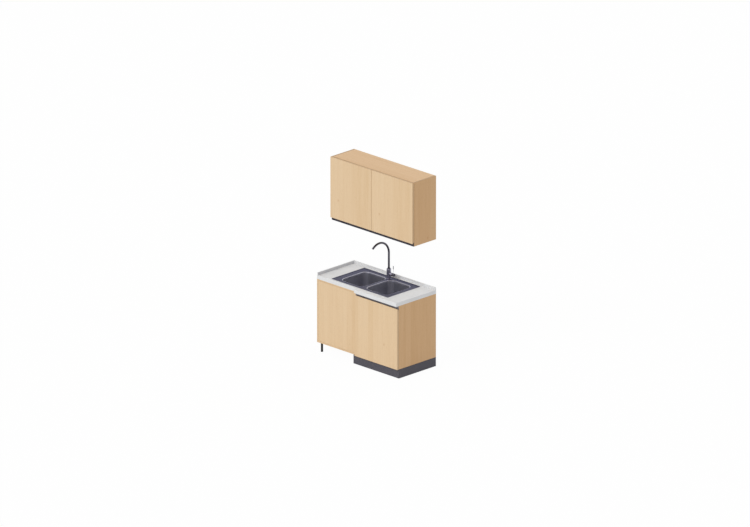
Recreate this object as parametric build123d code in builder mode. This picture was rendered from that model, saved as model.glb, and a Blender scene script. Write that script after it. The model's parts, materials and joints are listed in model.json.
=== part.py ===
# Corner sink unit: a blind-corner base unit with its worktop, double-bowl sink and mixer tap,
# and the wall unit that hangs above it. Millimetres, X to the right, Y towards the wall, Z up.
# The origin is on the floor, at the middle of the footprint.

from build123d import *
import os

os.makedirs("parts", exist_ok=True)

# Tolerance for picking edges by their height
same_height = 0.01

# Overall sizes
unit_width = 1206.0
worktop_depth = 588.0
worktop_thickness = 40.0
plinth_height = 100.0
base_height = 700.0
base_depth = 547.0
wall_unit_bottom = 1400.0
wall_unit_height = 700.0
wall_unit_depth = 323.0

# Boards and doors
board = 18.0
back_board = 5.0
back_recess = 18.0
groove_depth = 8.0
groove_play = 0.25
door_thickness = 22.0
door_gap = 4.0
door_edge_round = 1.0
door_joint = 3.0
base_door_width = 628.0
grip_gap = 30.0
grip_bevel = 16.0
wall_door_lift = 32.0
panel_play = 0.8
blind_lap = 18.0
post_depth = 44.0
front_rail_depth = 24.0
rear_rail_height = 100.0
rear_rail_drop = 14.0
service_width = 320.0
service_height = 240.0
service_centre_z = 430.0
service_radius = 20.0
joining_hole_radius = 4.0
joining_hole_spacing_y = 416.0
joining_hole_spacing_z = 576.0

# Finger-grip profiles
profile_stand_off = 6.0
profile_wall = 1.6
profile_lap = 12.0
profile_foot_step = 9.0

# Plinth and legs
plinth_thickness = 14.0
plinth_left_inset = 538.0
plinth_top_play = 1.5
leg_radius = 12.0
leg_inset_x = 49.0
blind_leg_setback = 24.0
plinth_leg_setback = 64.0
rear_leg_setback = 60.0
leg_socket_radius = 18.0
leg_socket_height = 3.0
foot_height = 12.0
foot_gap = 2.0
foot_screw_radius = 5.0
foot_screw_length = 50.0
screw_play = 0.05
clip_height = 14.0
clip_z = 45.0
clip_wall = 2.5
clip_plate = 30.0
clip_arm = 12.0

# Worktop
blind_worktop_width = 587.0
worktop_edge_round = 2.0
upstand_thickness = 12.0
upstand_height = 30.0

# Sink
sink_x = 2.0
sink_width = 826.0
sink_depth = 482.0
sink_from_wall = 42.0
sink_corner = 4.0
sheet = 1.5
seal_thickness = 1.0
seal_inset = 3.0
rim_width = 10.0
rim_height = 2.0
bowl_width = 313.0
bowl_length = 370.0
bowl_depth = 200.0
bowls_x = 17.0
bowl_pitch = 364.0
bowl_from_wall = 109.0
bowl_corner = 60.0
bowl_mouth_round = 12.0
bowl_floor_round = 24.0
cutout_margin = 15.0
cutout_corner = 20.0
clip_width = 22.0
sink_clip_sheet = 2.0
sink_clip_drop = 46.0
sink_clip_reach = 10.0
sink_clip_play = 0.5

# Waste kit
drain_radius = 43.0
strainer_flange_radius = 56.0
strainer_flange_height = 2.5
strainer_wall = 2.0
strainer_depth = 50.0
strainer_seat_radius = 46.0
strainer_seat_height = 1.0
strainer_play = 0.5
strainer_bevel = 3.0
neck_radius = 24.0
neck_length = 28.0
nut_radius = 54.0
nut_height = 14.0
nut_sides = 12
basket_play = 0.6
basket_lift = 0.1
basket_depth = 38.0
basket_sheet = 1.2
basket_hole_radius = 3.0
basket_hole_circle = 26.0
basket_holes = 10
basket_knob_radius = 9.0
basket_knob_height = 10.0
basket_stem_radius = 3.0
pipe_radius = 20.0
pipe_wall = 2.0
branch_drop = 48.0
branch_bend = 32.0
trap_gap = 90.0
trap_radius = 35.0
trap_collar_radius = 27.0
trap_length = 112.0
trap_cup_radius = 39.0
trap_cup_height = 44.0
trap_round = 10.0
outlet_drop = 34.0
outlet_clearance = 6.0
slip_nut_radius = 29.0
slip_nut_length = 18.0
slip_nut_sides = 10

# Mixer tap
tap_x = 0.0
tap_from_wall = 90.0
tap_ring_radius = 27.0
tap_ring_height = 3.0
tap_radius = 24.0
tap_body_top = 111.0
tap_shoulder_round = 3.0
shank_radius = 16.0
shank_length = 46.0
shank_hole_play = 1.0
shank_nut_radius = 26.0
shank_nut_height = 9.0
shank_nut_sides = 6
inlet_radius = 4.0
inlet_spacing = 24.0
inlet_length = 95.0
inlet_end_radius = 8.3
inlet_end_length = 14.0
spout_radius = 11.0
spout_collar_radius = 15.0
spout_collar_height = 8.0
spout_collar_round = 1.5
spout_pivot_radius = 9.0
spout_pivot_depth = 30.0
spout_arc_height = 284.0
spout_arc_radius = 139.0
spout_sweep = 135.0
running_play = 0.05
face_play = 0.3
aerator_radius = 8.5
aerator_bore = 6.5
aerator_depth = 10.0
mixer_height = 54.0
mixer_radius = 16.5
mixer_reach = 52.0
knob_length = 27.0
knob_radius = 17.5
knob_pivot_radius = 8.0
knob_pivot_depth = 14.0
knob_round = 3.0
lever_slot_width = 10.0
lever_slot_length = 17.0
lever_slot_depth = 14.0
lever_hub_radius = 4.6
lever_hub_play = 0.25
lever_pin_radius = 1.5
lever_stem_radius = 2.2
lever_grip_radius = 4.2
lever_grip_length = 34.0
lever_length = 91.0

# Hinges
hinge_cup_radius = 17.5
hinge_cup_depth = 11.5
hinge_cup_wall = 1.2
hinge_cup_play = 0.2
hinge_cup_inset = 22.5
hinge_flange_length = 62.0
hinge_flange_width = 16.0
hinge_flange_corner = 5.0
hinge_flange_sheet = 1.2
hinge_end_distance = 100.0
arm_height = 13.0
arm_length = 58.0
arm_nose = 5.0
arm_thickness = 9.0
arm_nose_thickness = 6.0
plate_length = 37.0
plate_height = 50.0
plate_thickness = 4.0
bumper_radius = 3.5
bumper_play = 0.3
bumper_end_distance = 30.0

# Inside the wall unit
shelf_setback = 25.0
shelf_play = 1.0
shelf_pin_radius = 2.5
shelf_pin_depth = 8.0
shelf_pin_reach = 10.0
shelf_pin_play = 0.1
shelf_pin_inset = 50.0
hanger_width = 18.0
hanger_height = 58.0
hanger_depth = 36.0
hanger_hook_width = 14.0
hanger_hook_sheet = 3.0
hanger_from_top = 30.0
rail_sheet = 2.0
rail_height = 32.0
rail_play = 0.3
rail_margin = 1.0
rail_step = 8.0
rail_lip = 14.0
rail_hole_radius = 4.0
rail_hole_spacing = 900.0

# Places worked out from the sizes above
left = -unit_width / 2
right = unit_width / 2
inner_left = left + board
inner_right = right - board
wall_y = worktop_depth / 2
worktop_front = wall_y - worktop_depth
base_front = wall_y - base_depth
base_bottom_z = plinth_height
base_top = plinth_height + base_height
worktop_top = base_top + worktop_thickness
base_door_back = base_front - door_gap
base_door_left = right - base_door_width
base_door_top = base_top - grip_gap
back_plane = wall_y - back_recess
wall_front = wall_y - wall_unit_depth
wall_door_back = wall_front - door_gap
wall_top_z = wall_unit_bottom + wall_unit_height
wall_door_bottom = wall_unit_bottom + wall_door_lift
blind_right = base_door_left + blind_lap
deck_top = worktop_top + seal_thickness + sheet
bowl_floor = deck_top - bowl_depth
sink_y = wall_y - sink_from_wall - sink_depth / 2
bowl_y = wall_y - bowl_from_wall - bowl_length / 2
bowl_xs = (bowls_x - bowl_pitch / 2, bowls_x + bowl_pitch / 2)
cutout_width = sink_width - 2 * cutout_margin
cutout_depth = sink_depth - 2 * cutout_margin
tap_y = wall_y - tap_from_wall
trap_x = bowl_xs[1]


def between(low_x, high_x, low_y, high_y, mode=Mode.ADD):
    # a rectangle on the current sketch, given by its four limits
    with Locations(((low_x + high_x) / 2, (low_y + high_y) / 2)):
        Rectangle(high_x - low_x, high_y - low_y, mode=mode)


def keep(piece, name):
    piece.part.label = name
    export_step(piece.part, f"parts/{name}.step")


# Base unit: the two sides, each with a groove for the back board
with BuildPart() as base_side_left:
    with BuildSketch(Plane.XY.offset(base_bottom_z)):
        between(left, inner_left, base_front, wall_y)
        between(inner_left - groove_depth, inner_left, back_plane - back_board, back_plane, Mode.SUBTRACT)
    extrude(amount=base_height)
    with BuildSketch(Plane.YZ.offset(left)):
        with Locations(((base_front + wall_y) / 2, base_bottom_z + base_height / 2)):
            with GridLocations(joining_hole_spacing_y, joining_hole_spacing_z, 2, 2):
                Circle(joining_hole_radius)
    extrude(amount=board, mode=Mode.SUBTRACT)
keep(base_side_left, "base_side_left")

with BuildPart() as base_side_right:
    with BuildSketch(Plane.XY.offset(base_bottom_z)):
        between(inner_right, right, base_front, wall_y)
        between(inner_right, inner_right + groove_depth, back_plane - back_board, back_plane, Mode.SUBTRACT)
    extrude(amount=base_height)
keep(base_side_right, "base_side_right")

with BuildPart() as base_bottom:
    with BuildSketch(Plane.XY.offset(base_bottom_z)):
        between(inner_left, inner_right, base_front, wall_y)
    extrude(amount=board)
    with BuildSketch(Plane.XY.offset(base_bottom_z + board)):
        between(inner_left, inner_right, back_plane - back_board, back_plane)
    extrude(amount=-groove_depth, mode=Mode.SUBTRACT)
keep(base_bottom, "base_bottom")

# Back board, in the grooves, with the opening for the waste and the water pipes
back_left = inner_left - groove_depth + groove_play
back_right = inner_right + groove_depth - groove_play
with BuildPart() as base_back:
    with BuildSketch(Plane.XZ.offset(groove_play - back_plane)):
        between(back_left, back_right, base_bottom_z + board - groove_depth + groove_play, base_top)
        with Locations((trap_x, service_centre_z)):
            RectangleRounded(service_width, service_height, service_radius, mode=Mode.SUBTRACT)
    extrude(amount=back_board - 2 * groove_play)
keep(base_back, "base_back")

rear_rail_top = base_top - rear_rail_drop
with BuildPart() as base_rear_rail:
    with BuildSketch(Plane.XZ.offset(back_board - groove_play - back_plane)):
        between(inner_left, inner_right, rear_rail_top - rear_rail_height, rear_rail_top)
    extrude(amount=board)
keep(base_rear_rail, "base_rear_rail")

with BuildPart() as base_front_rail:
    with BuildSketch(Plane.XY.offset(base_top - board)):
        between(inner_left, inner_right, base_front, base_front + front_rail_depth)
    extrude(amount=board)
keep(base_front_rail, "base_front_rail")

# Fixed panel that closes the corner part of the front, flush with the boards round it,
# and the post behind its free edge
with BuildPart() as blind_panel:
    with BuildSketch(Plane.XZ.offset(-base_front - board)):
        between(inner_left + panel_play, blind_right, base_bottom_z + board + panel_play,
                base_top - board - panel_play)
    extrude(amount=board)
keep(blind_panel, "blind_panel")

with BuildPart() as centre_post:
    with BuildSketch(Plane.XY.offset(base_bottom_z + board)):
        between(blind_right - board, blind_right, base_front + board, base_front + board + post_depth)
    extrude(amount=base_height - 2 * board)
    with BuildSketch(Plane.XY.offset(base_top - board)):
        between(blind_right - board, blind_right, base_front + board, base_front + front_rail_depth)
    extrude(amount=-panel_play, mode=Mode.SUBTRACT)
keep(centre_post, "centre_post")


def grip_section(front, shelf_z, web_end):
    # section of a grip profile: a web ahead of the carcass, a flange along the board
    # it covers, a foot against the carcass and a curled lip at the free end
    up = 1 if web_end > shelf_z else -1
    web_front = front - profile_stand_off
    web_back = web_front + profile_wall
    foot_z = shelf_z + up * (board - profile_foot_step)
    between(web_front, web_back, *sorted((shelf_z, web_end)))
    between(web_back, front, *sorted((shelf_z, shelf_z + up * profile_wall)))
    between(web_back, front, *sorted((foot_z, foot_z + up * profile_wall)))
    between(web_back, web_back + profile_wall, *sorted((web_end, web_end - up * profile_wall)))


with BuildPart() as base_grip_profile:
    with BuildSketch(Plane.YZ.offset(base_door_left)):
        grip_section(base_front, base_top, base_door_top - profile_lap)
    extrude(amount=base_door_width)
keep(base_grip_profile, "base_grip_profile")

# Plinth: a front board and a return along the open end
plinth_left = left + plinth_left_inset
with BuildPart() as plinth_front:
    with BuildSketch(Plane.XY):
        between(plinth_left, right, base_front, base_front + plinth_thickness)
    extrude(amount=plinth_height - plinth_top_play)
keep(plinth_front, "plinth_front")

with BuildPart() as plinth_return:
    with BuildSketch(Plane.XY):
        between(right - plinth_thickness, right, base_front + plinth_thickness, wall_y)
    extrude(amount=plinth_height - plinth_top_play)
keep(plinth_return, "plinth_return")

# Legs: the one under the corner part shows, the others stand back behind the plinth
leg_xs = (left + leg_inset_x, blind_right - board / 2 + leg_inset_x, right - plinth_leg_setback)
plinth_leg_y = base_front + plinth_leg_setback
rear_leg_y = wall_y - rear_leg_setback
leg_places = [(leg_xs[0], base_front + blind_leg_setback)]
leg_places += [(x, plinth_leg_y) for x in leg_xs[1:]]
leg_places += [(x, rear_leg_y) for x in leg_xs]

with BuildPart() as leg_sockets:
    with BuildSketch(Plane.XY.offset(base_bottom_z)):
        with Locations(*leg_places):
            Circle(leg_socket_radius)
    extrude(amount=-leg_socket_height)
keep(leg_sockets, "leg_sockets")

with BuildPart() as leg_posts:
    with BuildSketch(Plane.XY.offset(base_bottom_z - leg_socket_height)):
        with Locations(*leg_places):
            Circle(leg_radius)
    extrude(amount=-(base_bottom_z - leg_socket_height - foot_height - foot_gap))
    with BuildSketch(Plane.XY.offset(foot_height)):
        with Locations(*leg_places):
            Circle(foot_screw_radius + screw_play)
    extrude(amount=foot_screw_length + foot_gap, mode=Mode.SUBTRACT)
keep(leg_posts, "leg_posts")

with BuildPart() as leg_feet:
    with BuildSketch(Plane.XY):
        with Locations(*leg_places):
            Circle(leg_radius)
    extrude(amount=foot_height)
    with BuildSketch(Plane.XY.offset(foot_height)):
        with Locations(*leg_places):
            Circle(foot_screw_radius)
    extrude(amount=foot_screw_length)
keep(leg_feet, "leg_feet")

# Plinth clips: a plate on the back of the plinth, an arm, and a spring ring open
# on the far side round the leg
clip_reach = plinth_leg_setback - plinth_thickness
clip_inner = leg_radius + screw_play
clip_outer = clip_inner + clip_wall
clip_planes = [Plane(origin=(x, plinth_leg_y, clip_z), x_dir=(0, -1, 0), z_dir=(0, 0, 1)) for x in leg_xs[1:]]
clip_planes.append(Plane(origin=(leg_xs[2], rear_leg_y, clip_z), x_dir=(1, 0, 0), z_dir=(0, 0, 1)))
with BuildPart() as plinth_clips:
    for clip_plane in clip_planes:
        with BuildSketch(clip_plane):
            Circle(clip_outer)
            between(0, clip_reach, -clip_arm / 2, clip_arm / 2)
            between(clip_reach - clip_wall, clip_reach, -clip_plate / 2, clip_plate / 2)
            Circle(clip_inner, mode=Mode.SUBTRACT)
            between(-clip_outer, -clip_inner / 2, -clip_outer, clip_outer, Mode.SUBTRACT)
        extrude(amount=clip_height)
keep(plinth_clips, "plinth_clips")

# Worktop: flush over the corner part, overhanging the door, with the sink cut-out
step_x = left + blind_worktop_width
with BuildPart() as worktop:
    with BuildSketch(Plane.XY.offset(base_top)):
        between(left, right, base_front, wall_y)
        between(step_x, right, worktop_front, base_front)
        with Locations((sink_x, sink_y)):
            RectangleRounded(cutout_width, cutout_depth, cutout_corner, mode=Mode.SUBTRACT)
    extrude(amount=worktop_thickness)
    top_edges = worktop.faces().sort_by(Axis.Z)[-1].outer_wire().edges()
    fillet(top_edges.filter_by(Axis.X).sort_by(Axis.Y)[:2], worktop_edge_round)
keep(worktop, "worktop")

with BuildPart() as upstand_back:
    with BuildSketch(Plane.XY.offset(worktop_top)):
        between(left, right, wall_y - upstand_thickness, wall_y)
    extrude(amount=upstand_height)
keep(upstand_back, "upstand_back")

with BuildPart() as upstand_left:
    with BuildSketch(Plane.XY.offset(worktop_top)):
        between(left, left + upstand_thickness, base_front + worktop_edge_round, wall_y - upstand_thickness)
    extrude(amount=upstand_height)
keep(upstand_left, "upstand_left")

# Sink: the raised rim and the deck lie on the worktop, and each bowl hangs through the cut-out.
# The outer form and the space inside the bowls are one sheet apart everywhere.
deck_underside = worktop_top + seal_thickness
bowl_places = [(x, bowl_y) for x in bowl_xs]

with BuildPart() as bowl_space:
    with BuildSketch(Plane.XY.offset(bowl_floor)):
        with Locations(*bowl_places):
            RectangleRounded(bowl_width, bowl_length, bowl_corner)
    extrude(amount=bowl_depth)
    fillet(bowl_space.edges().group_by(Axis.Z)[0], bowl_floor_round)


def round_a_bowl(edge):
    # whether an edge of the deck runs round one of the bowls
    reach_x = (bowl_pitch + bowl_width) / 2 + 2 * sheet
    reach_y = bowl_length / 2 + 2 * sheet
    centre = edge.center(CenterOf.BOUNDING_BOX)
    return abs(centre.X - bowls_x) < reach_x and abs(centre.Y - bowl_y) < reach_y


with BuildPart() as sink:
    with BuildSketch(Plane.XY.offset(bowl_floor - sheet)):
        with Locations(*bowl_places):
            RectangleRounded(bowl_width + 2 * sheet, bowl_length + 2 * sheet, bowl_corner + sheet)
    extrude(amount=bowl_depth)
    fillet(sink.edges().group_by(Axis.Z)[0], bowl_floor_round + sheet)
    with BuildSketch(Plane.XY.offset(deck_underside)):
        with Locations((sink_x, sink_y)):
            RectangleRounded(sink_width, sink_depth, sink_corner)
    extrude(amount=sheet + rim_height)
    with BuildSketch(Plane.XY.offset(deck_top)):
        with Locations((sink_x, sink_y)):
            RectangleRounded(sink_width - 2 * rim_width, sink_depth - 2 * rim_width, sink_corner)
    extrude(amount=rim_height, mode=Mode.SUBTRACT)
    shoulders = sink.edges().filter_by_position(
        Axis.Z, deck_underside - same_height, deck_underside + same_height)
    fillet(shoulders.filter_by(round_a_bowl), bowl_mouth_round - sheet)
    add(bowl_space.part, mode=Mode.SUBTRACT)
    mouths = sink.edges().filter_by_position(Axis.Z, deck_top - same_height, deck_top + same_height)
    fillet(mouths.filter_by(round_a_bowl), bowl_mouth_round)
    with BuildSketch(Plane.XY.offset(bowl_floor)):
        with Locations(*bowl_places):
            Circle(drain_radius)
    extrude(amount=-sheet, mode=Mode.SUBTRACT)
    with BuildSketch(Plane.XY.offset(deck_top)):
        with Locations((tap_x, tap_y)):
            Circle(shank_radius + shank_hole_play)
    extrude(amount=-sheet, mode=Mode.SUBTRACT)
keep(sink, "sink")

with BuildPart() as sink_seal:
    with BuildSketch(Plane.XY.offset(worktop_top)):
        with Locations((sink_x, sink_y)):
            RectangleRounded(sink_width - 2 * seal_inset, sink_depth - 2 * seal_inset, sink_corner)
            RectangleRounded(cutout_width, cutout_depth, cutout_corner, mode=Mode.SUBTRACT)
    extrude(amount=seal_thickness)
keep(sink_seal, "sink_seal")

# Sink clips: a strip that hangs from the deck inside the cut-out, with a foot under the worktop
clip_places = [((sink_x + side * cutout_width / 2, sink_y + along * cutout_depth / 4), (side, 0, 0))
               for side in (-1, 1) for along in (-1, 1)]
clip_places += [((sink_x + along * cutout_width / 3, sink_y + side * cutout_depth / 2), (0, side, 0))
                for side in (-1, 1) for along in (-1, 0, 1)]
with BuildPart() as sink_clips:
    for (clip_x, clip_y), outward in clip_places:
        along_edge = Vector(*outward).cross(Vector(0, 0, 1))
        edge_plane = Plane(origin=(clip_x, clip_y, base_top), x_dir=outward, z_dir=along_edge)
        with BuildSketch(edge_plane):
            between(-sink_clip_play - sink_clip_sheet, -sink_clip_play,
                    deck_underside - base_top - sink_clip_drop, deck_underside - base_top)
            between(-sink_clip_play, sink_clip_reach, -sink_clip_play - sink_clip_sheet, -sink_clip_play)
        extrude(amount=clip_width / 2, both=True)
keep(sink_clips, "sink_clips")

# Basket strainers: body clamped through the drain hole by its nut, and the basket that lifts out
strainer_outer = drain_radius - strainer_play
strainer_inner = strainer_outer - strainer_wall
neck_bottom = -strainer_depth - neck_length
neck_z = bowl_floor + neck_bottom


def drain_plane(x):
    # upright plane through a drain's axis, with its origin on the bowl's floor
    return Plane(origin=(x, bowl_y, bowl_floor), x_dir=(1, 0, 0), z_dir=(0, -1, 0))


def drain_axis(x):
    return Axis((x, bowl_y, bowl_floor), (0, 0, 1))


with BuildPart() as strainer_bodies:
    for x in bowl_xs:
        with BuildSketch(drain_plane(x)):
            with BuildLine():
                Polyline((strainer_outer, 0), (strainer_flange_radius, 0),
                         (strainer_flange_radius, strainer_seat_height),
                         (strainer_flange_radius - strainer_bevel, strainer_flange_height),
                         (strainer_seat_radius, strainer_flange_height),
                         (strainer_seat_radius, strainer_seat_height),
                         (strainer_inner, strainer_seat_height),
                         (strainer_inner, strainer_wall - strainer_depth),
                         (neck_radius - strainer_wall, strainer_wall - strainer_depth),
                         (neck_radius - strainer_wall, neck_bottom), (neck_radius, neck_bottom),
                         (neck_radius, -strainer_depth), (strainer_outer, -strainer_depth), close=True)
            make_face()
        revolve(axis=drain_axis(x))
keep(strainer_bodies, "strainer_bodies")

with BuildPart() as strainer_nuts:
    with BuildSketch(Plane.XY.offset(bowl_floor - sheet)):
        with Locations(*bowl_places):
            RegularPolygon(nut_radius, nut_sides)
            Circle(strainer_outer + screw_play, mode=Mode.SUBTRACT)
    extrude(amount=-nut_height)
keep(strainer_nuts, "strainer_nuts")

basket_radius = strainer_inner - basket_play
basket_rim_z = strainer_seat_height + basket_lift
basket_floor_z = basket_rim_z - basket_depth
for x, name in zip(bowl_xs, ("basket_left", "basket_right")):
    with BuildPart() as basket:
        with BuildSketch(drain_plane(x)):
            with BuildLine():
                Polyline((0, basket_floor_z), (basket_radius, basket_floor_z), (basket_radius, basket_rim_z),
                         (strainer_seat_radius - basket_play, basket_rim_z),
                         (strainer_seat_radius - basket_play, basket_rim_z + basket_sheet),
                         (basket_radius - basket_sheet, basket_rim_z + basket_sheet),
                         (basket_radius - basket_sheet, basket_floor_z + basket_sheet),
                         (basket_stem_radius, basket_floor_z + basket_sheet),
                         (basket_stem_radius, -basket_knob_height),
                         (basket_knob_radius, -basket_knob_height + basket_sheet),
                         (basket_knob_radius, -basket_sheet), (basket_knob_radius / 2, 0), (0, 0), close=True)
            make_face()
        revolve(axis=drain_axis(x))
        with BuildSketch(Plane.XY.offset(bowl_floor + basket_floor_z)):
            with Locations((x, bowl_y)):
                with PolarLocations(basket_hole_circle, basket_holes):
                    Circle(basket_hole_radius)
        extrude(amount=basket_sheet, mode=Mode.SUBTRACT)
    keep(basket, name)

# Waste pipes: the left bowl's branch runs across to the right bowl's drop, and the trap hangs below it
branch_z = neck_z - branch_drop
trap_top = neck_z - trap_gap
trap_bottom = trap_top - trap_length
outlet_z = trap_top - outlet_drop
with BuildPart() as waste_manifold:
    with BuildLine(Plane.XZ.offset(-bowl_y)) as branch:
        FilletPolyline((bowl_xs[0], neck_z), (bowl_xs[0], branch_z), (bowl_xs[1], branch_z),
                       radius=branch_bend)
    with BuildSketch(Plane.XY.offset(neck_z)):
        with Locations((bowl_xs[0], bowl_y)):
            Circle(pipe_radius)
    sweep()
    with BuildSketch(Plane.XY.offset(trap_top)):
        with Locations((trap_x, bowl_y)):
            Circle(pipe_radius)
    extrude(amount=trap_gap)
    with BuildSketch(Plane.XY.offset(neck_z)):
        with Locations(*bowl_places):
            Circle(neck_radius)
    extrude(amount=-slip_nut_length / 2)
    with BuildSketch(Plane.XY.offset(neck_z)):
        with Locations((bowl_xs[0], bowl_y)):
            Circle(pipe_radius - pipe_wall)
    sweep(path=branch.wire(), mode=Mode.SUBTRACT)
    with BuildSketch(Plane.XY.offset(trap_top)):
        with Locations((trap_x, bowl_y)):
            Circle(pipe_radius - pipe_wall)
    extrude(amount=trap_gap, mode=Mode.SUBTRACT)
keep(waste_manifold, "waste_manifold")

with BuildPart() as slip_nuts:
    with BuildSketch(Plane.XY.offset(neck_z - slip_nut_length / 2)):
        with Locations(*bowl_places):
            RegularPolygon(slip_nut_radius, slip_nut_sides)
            Circle(neck_radius + screw_play, mode=Mode.SUBTRACT)
    extrude(amount=slip_nut_length)
keep(slip_nuts, "slip_nuts")

outlet_start = bowl_y + trap_radius + slip_nut_length
with BuildPart() as trap_body:
    with BuildSketch(Plane.XY.offset(trap_bottom)):
        with Locations((trap_x, bowl_y)):
            Circle(trap_radius)
    extrude(amount=trap_length)
    fillet(trap_body.edges().group_by(Axis.Z)[-1], trap_round)
    with BuildSketch(Plane.XY.offset(trap_top - trap_round)):
        with Locations((trap_x, bowl_y)):
            Circle(trap_collar_radius)
    extrude(amount=trap_round + slip_nut_length)
    with BuildSketch(Plane.XZ.offset(-bowl_y)):
        with Locations((trap_x, outlet_z)):
            Circle(trap_collar_radius)
    extrude(amount=bowl_y - outlet_start)
    with BuildSketch(Plane.XY.offset(trap_top)):
        with Locations((trap_x, bowl_y)):
            Circle(pipe_radius + screw_play)
    extrude(amount=slip_nut_length, mode=Mode.SUBTRACT)
keep(trap_body, "trap_body")

with BuildPart() as trap_cup:
    with BuildSketch(Plane.XY.offset(trap_bottom)):
        with Locations((trap_x, bowl_y)):
            Circle(trap_cup_radius)
    extrude(amount=-trap_cup_height)
    fillet(trap_cup.edges().group_by(Axis.Z)[0], trap_round)
keep(trap_cup, "trap_cup")

outlet_end = wall_y - outlet_clearance
with BuildPart() as waste_outlet:
    with BuildSketch(Plane.XZ.offset(-outlet_end)):
        with Locations((trap_x, outlet_z)):
            Circle(pipe_radius)
            Circle(pipe_radius - pipe_wall, mode=Mode.SUBTRACT)
    extrude(amount=outlet_end - outlet_start)
keep(waste_outlet, "waste_outlet")

# Mixer tap: body with its side arm and threaded shank, standing on a ring on the sink's deck
tap_base = deck_top + tap_ring_height
tap_top = worktop_top + tap_body_top
mixer_z = worktop_top + mixer_height
arm_end = tap_x + mixer_reach
with BuildPart() as tap_body:
    with BuildSketch(Plane.XY.offset(tap_base)):
        with Locations((tap_x, tap_y)):
            Circle(tap_radius)
    extrude(amount=tap_top - tap_base)
    fillet(tap_body.edges().group_by(Axis.Z)[-1], tap_shoulder_round)
    with BuildSketch(Plane.YZ.offset(tap_x)):
        with Locations((tap_y, mixer_z)):
            Circle(mixer_radius)
    extrude(amount=mixer_reach)
    with BuildSketch(Plane.XY.offset(deck_top - shank_length)):
        with Locations((tap_x, tap_y)):
            Circle(shank_radius)
    extrude(amount=shank_length + tap_ring_height)
    with BuildSketch(Plane.XY.offset(tap_top)):
        with Locations((tap_x, tap_y)):
            Circle(spout_pivot_radius + running_play)
    extrude(amount=-spout_pivot_depth - face_play, mode=Mode.SUBTRACT)
    with BuildSketch(Plane.YZ.offset(arm_end)):
        with Locations((tap_y, mixer_z)):
            Circle(knob_pivot_radius + running_play)
    extrude(amount=-knob_pivot_depth - face_play, mode=Mode.SUBTRACT)
keep(tap_body, "tap_body")

with BuildPart() as tap_ring:
    with BuildSketch(Plane.XY.offset(deck_top)):
        with Locations((tap_x, tap_y)):
            Circle(tap_ring_radius)
    extrude(amount=tap_ring_height)
    chamfer(tap_ring.edges().group_by(Axis.Z)[-1], tap_ring_height / 2)
    with BuildSketch(Plane.XY.offset(deck_top)):
        with Locations((tap_x, tap_y)):
            Circle(shank_radius + screw_play)
    extrude(amount=tap_ring_height, mode=Mode.SUBTRACT)
keep(tap_ring, "tap_ring")

with BuildPart() as tap_nut:
    with BuildSketch(Plane.XY.offset(deck_underside)):
        with Locations((tap_x, tap_y)):
            RegularPolygon(shank_nut_radius, shank_nut_sides)
            Circle(shank_radius + screw_play, mode=Mode.SUBTRACT)
    extrude(amount=-shank_nut_height)
keep(tap_nut, "tap_nut")

inlet_places = [(tap_x + side * inlet_spacing / 2, tap_y) for side in (-1, 1)]
inlet_top = deck_top - shank_length
with BuildPart() as tap_inlets:
    with BuildSketch(Plane.XY.offset(inlet_top)):
        with Locations(*inlet_places):
            Circle(inlet_radius)
    extrude(amount=-inlet_length)
    with BuildSketch(Plane.XY.offset(inlet_top - inlet_length)):
        with Locations(*inlet_places):
            Circle(inlet_end_radius)
    extrude(amount=inlet_end_length)
keep(tap_inlets, "tap_inlets")

# Spout: swept along a riser and an arc towards the bowls, with a pivot in the body
spout_base = tap_top + face_play
spout_arc_z = worktop_top + spout_arc_height
with BuildPart() as spout:
    with BuildLine(Plane.YZ.offset(tap_x)) as spout_path:
        Line((tap_y, spout_base), (tap_y, spout_arc_z))
        CenterArc((tap_y - spout_arc_radius, spout_arc_z), spout_arc_radius, 0, spout_sweep)
    with BuildSketch(Plane.XY.offset(spout_base)):
        with Locations((tap_x, tap_y)):
            Circle(spout_radius)
    sweep()
    with BuildSketch(Plane.XY.offset(spout_base)):
        with Locations((tap_x, tap_y)):
            Circle(spout_collar_radius)
    extrude(amount=spout_collar_height)
    collar_top = spout_base + spout_collar_height
    collar_edges = spout.edges().filter_by_position(
        Axis.Z, collar_top - same_height, collar_top + same_height)
    fillet(collar_edges.sort_by(SortBy.LENGTH)[-1], spout_collar_round)
    with BuildSketch(Plane.XY.offset(spout_base)):
        with Locations((tap_x, tap_y)):
            Circle(spout_pivot_radius)
    extrude(amount=-spout_pivot_depth)
    tip = Plane(origin=spout_path.wire() @ 1, z_dir=spout_path.wire() % 1)
    with BuildSketch(tip):
        Circle(aerator_radius + running_play)
    extrude(amount=-aerator_depth, mode=Mode.SUBTRACT)
keep(spout, "spout")

with BuildPart() as aerator:
    with BuildSketch(tip.offset(-aerator_depth)):
        Circle(aerator_radius)
    extrude(amount=aerator_depth)
    with BuildSketch(tip):
        Circle(aerator_bore)
    extrude(amount=-aerator_depth / 2, mode=Mode.SUBTRACT)
keep(aerator, "aerator")

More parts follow.
